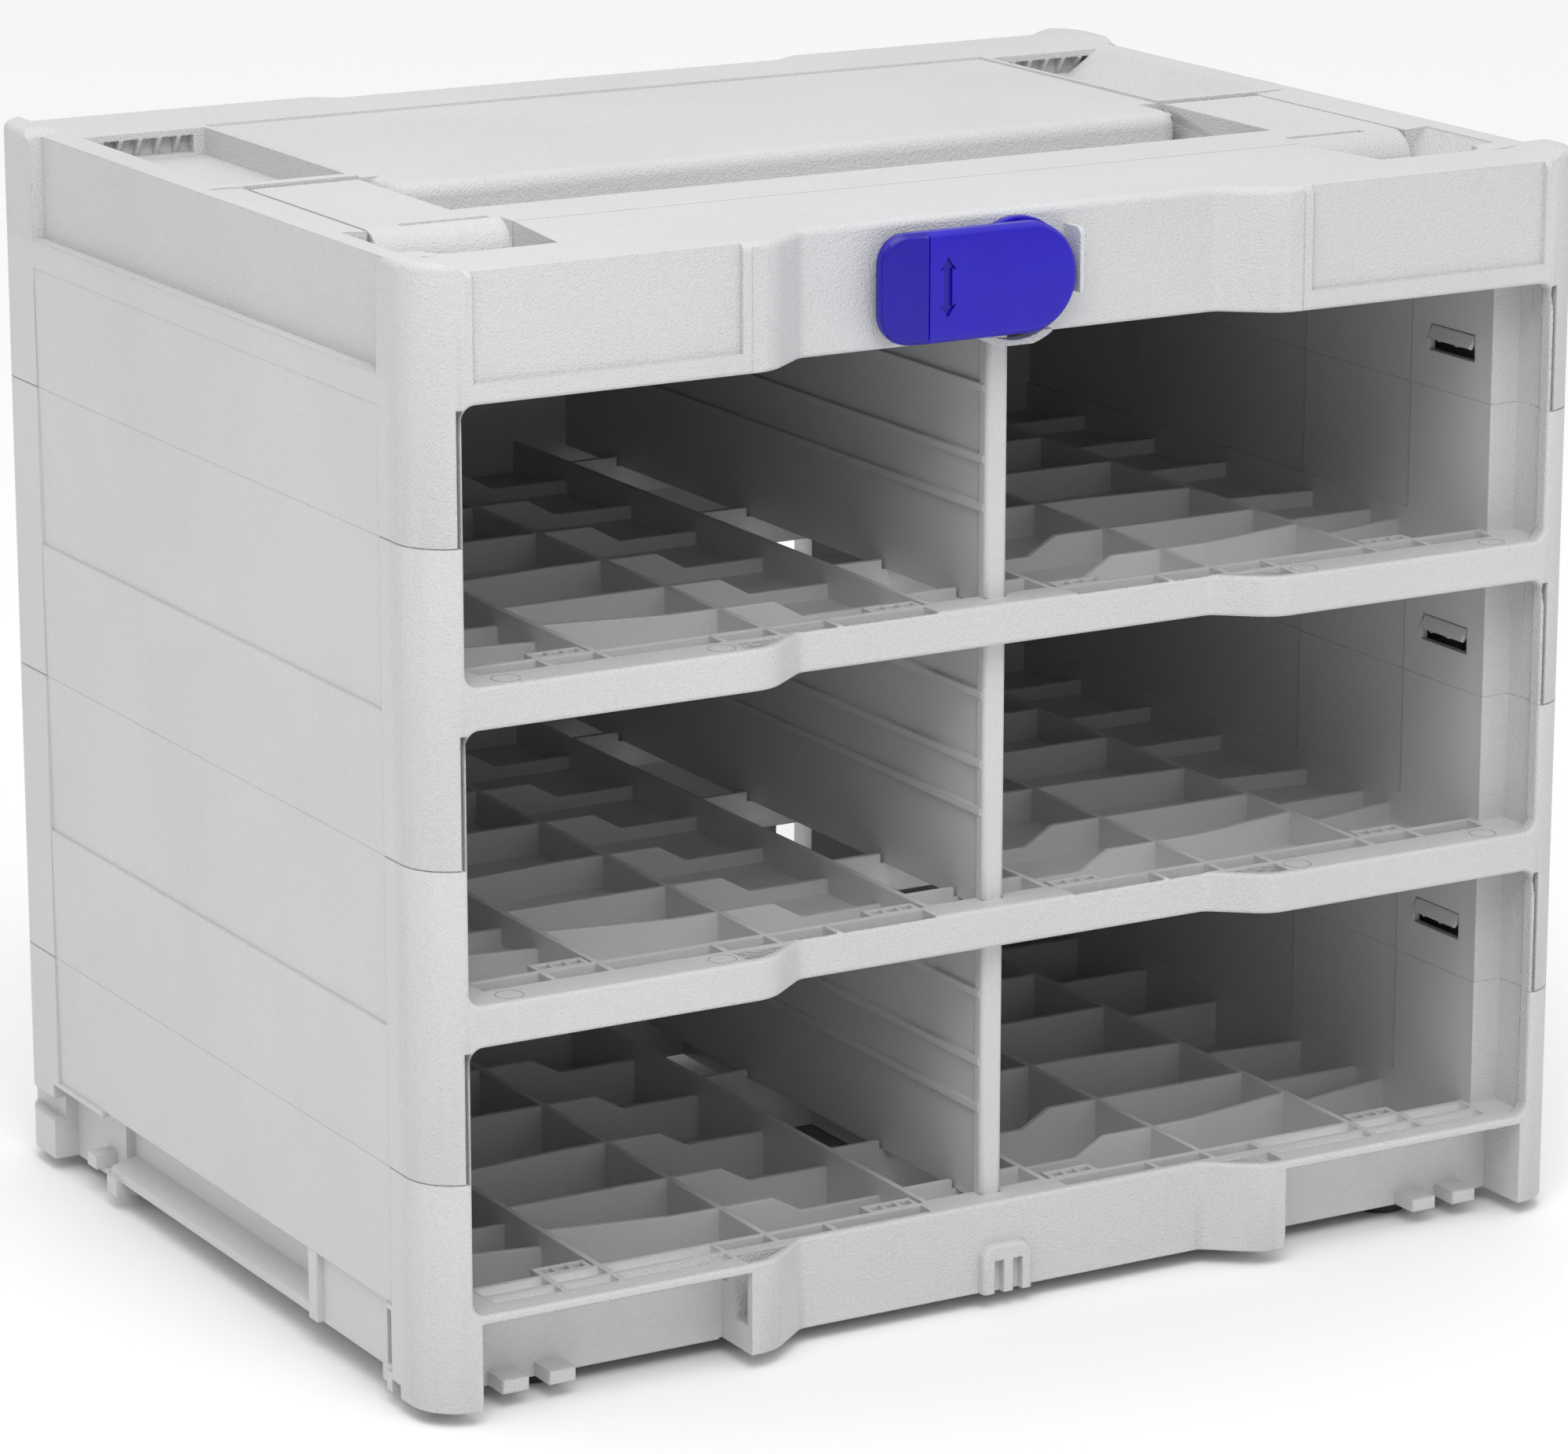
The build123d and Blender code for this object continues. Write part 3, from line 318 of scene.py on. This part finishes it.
def steel():
    """Zinc-plated steel, slightly clouded, with a very fine surface."""
    shader = Shader("steel")
    clouds = shader.noise(140.0, 3.0)
    shader.link(shader.colours(clouds, STEEL_DARK, STEEL_LIGHT),
                shader.principled.inputs["Base Color"])
    shader.link(shader.remap(shader.noise(800.0, 3.0), 0.3, 0.7, 0.26, 0.42),
                shader.principled.inputs["Roughness"])
    shader.link(shader.bump(shader.noise(2600.0, 2.0), STEEL_BUMP), shader.principled.inputs["Normal"])
    shader.principled.inputs["Metallic"].default_value = 1.0
    return shader.material


materials = {
    "rack_plastic": rack_plastic(),
    "latch_plastic": latch_plastic(),
    "rubber": rubber(),
    "steel": steel(),
}


def paint(piece, material):
    piece.data.materials.clear()
    piece.data.materials.append(material)


# ---------------------------------------------------------------- CAD nodes that stay
# Bevel widths in millimetres, by the start of a node's name.
SOFT_EDGES = {
    "base_tray": 0.45, "lower_shelf": 0.45, "upper_shelf": 0.45, "top_housing": 0.45,
    "carry_handle": 0.7, "divider": 0.35, "drawer_catch": 0.2, "latch_cam": 0.6,
    "rubber_foot": 0.4, "storey_screws": 0.3, "latch_screw": 0.3, "latch_washer": 0.2,
    "handle_pin": 0.4,
}
WELD_DISTANCE = 0.000001
FLAT_ANGLE = 0.5
SHARP_ANGLE = 35
BEVEL_SEGMENTS = 2


def soften(node, width):
    """Rounds the sharp edges of a CAD node with modifiers, which leave its own mesh alone."""
    weld = node.modifiers.new("weld", "WELD")
    weld.merge_threshold = WELD_DISTANCE
    merge = node.modifiers.new("merge_flat", "DECIMATE")
    merge.decimate_type = "DISSOLVE"
    merge.angle_limit = math.radians(FLAT_ANGLE)
    bevel = node.modifiers.new("edges", "BEVEL")
    bevel.width = width * MM
    bevel.segments = BEVEL_SEGMENTS
    bevel.limit_method = "ANGLE"
    bevel.angle_limit = math.radians(SHARP_ANGLE)
    bevel.use_clamp_overlap = True
    bevel.harden_normals = True


# ---------------------------------------------------------------- solids made of stacked outlines
def stacked_solid(rings):
    """A closed mesh through outlines that have the same number of points, capped at both ends."""
    build = bmesh.new()
    loops = [[build.verts.new(point) for point in ring] for ring in rings]
    count = len(loops[0])
    for lower, upper in zip(loops, loops[1:]):
        for index in range(count):
            following = (index + 1) % count
            build.faces.new((lower[index], lower[following], upper[following], upper[index]))
    build.faces.new(loops[0])
    build.faces.new(list(reversed(loops[-1])))
    bmesh.ops.recalc_face_normals(build, faces=build.faces)
    return build


def to_object(name, build):
    """Puts a finished mesh into the scene as a named object."""
    mesh = bpy.data.meshes.new(name)
    build.to_mesh(mesh)
    build.free()
    piece = bpy.data.objects.new(name, mesh)
    bpy.context.scene.collection.objects.link(piece)
    return piece


def combine(piece, tool, operation):
    """Joins or cuts a piece with a second solid, which is then removed."""
    step = piece.modifiers.new(operation.lower(), "BOOLEAN")
    step.object = tool
    step.operation = operation
    step.solver = "EXACT"
    bpy.context.view_layer.update()
    whole = bpy.data.meshes.new_from_object(piece.evaluated_get(bpy.context.evaluated_depsgraph_get()))
    piece.modifiers.remove(step)
    piece.data = whole
    bpy.data.objects.remove(tool)


def shade(piece, angle):
    """Smooth shading that keeps edges sharper than an angle."""
    for face in piece.data.polygons:
        face.use_smooth = True
    piece.data.set_sharp_from_angle(angle=math.radians(angle))


def corner_arc(centre, radius, start, end, steps):
    """Points of an arc in plan, from one angle to another in degrees."""
    points = []
    for step in range(steps + 1):
        angle = math.radians(start + (end - start) * step / steps)
        points.append((centre[0] + radius * math.cos(angle), centre[1] + radius * math.sin(angle)))
    return points


# ---------------------------------------------------------------- latch lever
GRIP_CORNER = 9 * MM
GRIP_LENGTH = 13.9 * MM
GRIP_SLOPE = 2.8 * MM
PLATE_THICKNESS = 5.2 * MM
CREASE_WIDTH = 0.55 * MM
CREASE_DEPTH = 0.5 * MM
ARROW_DEPTH = 0.9 * MM
GRIP_STEP = 0.25 * MM
GRIP_STEP_RUN = 1.2 * MM
STUB_RADIUS = 6 * MM
STUB_CHAMFER = 0.8 * MM
LEVER_SHARP_ANGLE = 28


def lever_outline(low, high, inset):
    """The lever seen from the front: small round corners at the grip, a half circle at the hub."""
    half = (high.z - low.z) / 2
    middle = (high.z + low.z) / 2
    hub_x = high.x - half
    corner = GRIP_CORNER
    points = corner_arc((hub_x, middle), half - inset, -90, 90, 28)
    points += corner_arc((low.x + corner, high.z - corner), corner - inset, 90, 180, 10)
    points += corner_arc((low.x + corner, low.z + corner), corner - inset, 180, 270, 10)
    return points


def lever_plate(low, high, front, back):
    """The lever's plate, with a soft chamfer round its face and a grip that slopes back."""
    profile = ((0.5, back), (0.0, back - 0.4 * MM), (0.0, front + 1.9 * MM), (0.5, front + 1.0 * MM),
               (1.1, front + 0.35 * MM), (1.6, front + 0.08 * MM), (2.1, front))
    rings = [[(x, y, z) for x, z in lever_outline(low, high, inset * MM)] for inset, y in profile]
    build = stacked_solid(rings)
    grip_x = low.x + GRIP_LENGTH
    for cut_x in (grip_x, grip_x - GRIP_STEP_RUN):
        bmesh.ops.bisect_plane(build, geom=build.verts[:] + build.edges[:] + build.faces[:],
                               plane_co=(cut_x, 0, 0), plane_no=(1, 0, 0), dist=1e-7)
    for vertex in build.verts:
        beyond = grip_x - vertex.co.x
        share = (back - vertex.co.y) / (back - front)
        if beyond > 0:
            vertex.co.y += share * (GRIP_STEP * min(1.0, beyond / GRIP_STEP_RUN)
                                    + GRIP_SLOPE * beyond / GRIP_LENGTH)
    return to_object("turn_latch_lever", build)


def arrow_prism(x, z, y0, y1):
    """A double arrow that points up and down, as half widths and heights from its middle."""
    head = 3.4 * MM
    wide = 2.7 * MM
    shaft = 1.4 * MM
    tall = 8.8 * MM
    barb = 0.5 * MM
    up = [(shaft, tall - head), (wide, tall - head - barb), (0.0, tall),
          (-wide, tall - head - barb), (-shaft, tall - head)]
    down = [(-across, -along) for across, along in up]
    outline = [(x + across, z + along) for across, along in up + down]
    rings = [[(px, y, pz) for px, pz in outline] for y in (y0, y1)]
    return to_object("arrow_cutter", stacked_solid(rings))


def round_solid(centre_x, centre_z, profile, count=64):
    """A turned solid about an axis along Y; the profile lists radius and y."""
    rings = []
    for radius, y in profile:
        rings.append([(px, y, pz) for px, pz in
                      corner_arc((centre_x, centre_z), radius, 0, 360 - 360 / count, count - 1)])
    return to_object("turned", stacked_solid(rings))


def make_lever():
    """The blue turn latch: plate with chamfered face, deeper grip, hub, stub, crease and arrow."""
    low, high = (Vector(corner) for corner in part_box("latch_lever"))
    front = low.y
    lever_back = Vector(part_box("latch_cam")[0]).y
    half = (high.z - low.z) / 2
    middle = (high.z + low.z) / 2
    hub_x = high.x - half
    lever = lever_plate(low, high, front, front + PLATE_THICKNESS)
    knob_outline = [(x, z) for x, z in lever_outline(low, high, 0.4 * MM)
                    if x < low.x + GRIP_LENGTH - 0.5 * MM]
    knob_y = (front + 3.0 * MM, lever_back - 0.8 * MM, lever_back)
    centre = Vector((low.x + GRIP_LENGTH / 2, middle))
    knob_rings = []
    for y, shrink in zip(knob_y, (1.0, 1.0, 0.93)):
        knob_rings.append([(centre.x + (x - centre.x) * shrink, y, centre.y + (z - centre.y) * shrink)
                           for x, z in knob_outline])
    combine(lever, to_object("knob", stacked_solid(knob_rings)), "UNION")
    hub = round_solid(hub_x, middle, ((half - 1.5 * MM, front + 3 * MM), (half - 0.6 * MM, lever_back - MM),
                                      (half - 0.6 * MM, lever_back - 0.01 * MM)))
    combine(lever, hub, "UNION")
    stub = round_solid(hub_x, middle, ((STUB_RADIUS, lever_back - MM),
                                       (STUB_RADIUS, high.y - STUB_CHAMFER),
                                       (STUB_RADIUS - STUB_CHAMFER, high.y)))
    combine(lever, stub, "UNION")
    crease_x = low.x + GRIP_LENGTH
    tall = half - 0.6 * MM
    crease = [(crease_x, middle - tall), (crease_x + CREASE_WIDTH, middle - tall),
              (crease_x + CREASE_WIDTH, middle + tall), (crease_x, middle + tall)]
    groove = to_object("crease", stacked_solid([[(x, y, z) for x, z in crease]
                                                for y in (front - MM, front + CREASE_DEPTH)]))
    combine(lever, groove, "DIFFERENCE")
    arrow = arrow_prism(crease_x + ARROW_FROM_GRIP, middle, front - MM, front + ARROW_DEPTH)
    combine(lever, arrow, "DIFFERENCE")
    shade(lever, LEVER_SHARP_ANGLE)
    paint(lever, materials["latch_plastic"])
    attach(lever, "latch")
    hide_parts("latch_lever")


# ---------------------------------------------------------------- ejector marks
MARK_RADIUS = 4.1 * MM
MARK_HEIGHT = 0.14 * MM
MARK_PLACES = (100 * MM, 169 * MM)
MARK_FROM_FRONT = 6.3 * MM
MARK_POINTS = 48
MARK_SHARP_ANGLE = 30
# A divider's foot reaches this far below the front strip of its shelf.
DIVIDER_FOOT = 3.0 * MM


def make_ejector_marks():
    """Thin raised rings that the ejector pins left on the front strips of the two shelves."""
    build = bmesh.new()
    section = ((-0.20 * MM, -0.05 * MM), (-0.07 * MM, MARK_HEIGHT),
               (0.07 * MM, MARK_HEIGHT), (0.20 * MM, -0.05 * MM))
    for shelf, divider in (("lower_shelf", "divider_middle"), ("upper_shelf", "divider_top")):
        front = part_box(shelf)[0][1]
        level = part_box(divider)[0][2] + DIVIDER_FOOT
        for x in (-MARK_PLACES[1], -MARK_PLACES[0], MARK_PLACES[0], MARK_PLACES[1]):
            loops = []
            for across, up in section:
                points = corner_arc((x, front + MARK_FROM_FRONT), MARK_RADIUS + across,
                                    0, 360 - 360 / MARK_POINTS, MARK_POINTS - 1)
                loops.append([build.verts.new((px, py, level + up)) for px, py in points])
            for inner, outer in zip(loops, loops[1:] + loops[:1]):
                for index in range(MARK_POINTS):
                    following = (index + 1) % MARK_POINTS
                    build.faces.new((inner[index], inner[following], outer[following], outer[index]))
    bmesh.ops.recalc_face_normals(build, faces=build.faces)
    marks = to_object("ejector_marks", build)
    shade(marks, MARK_SHARP_ANGLE)
    paint(marks, materials["rack_plastic"])
    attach(marks, "rack")


make_camera()
make_studio()
slots = {row["node"]: row["material_slot"] for row in frame["record"]["subparts"]}
for name, node in nodes.items():
    paint(node, materials[slots[name]])
    for start, width in SOFT_EDGES.items():
        if name.startswith(start):
            soften(node, width)
make_lever()
make_ejector_marks()
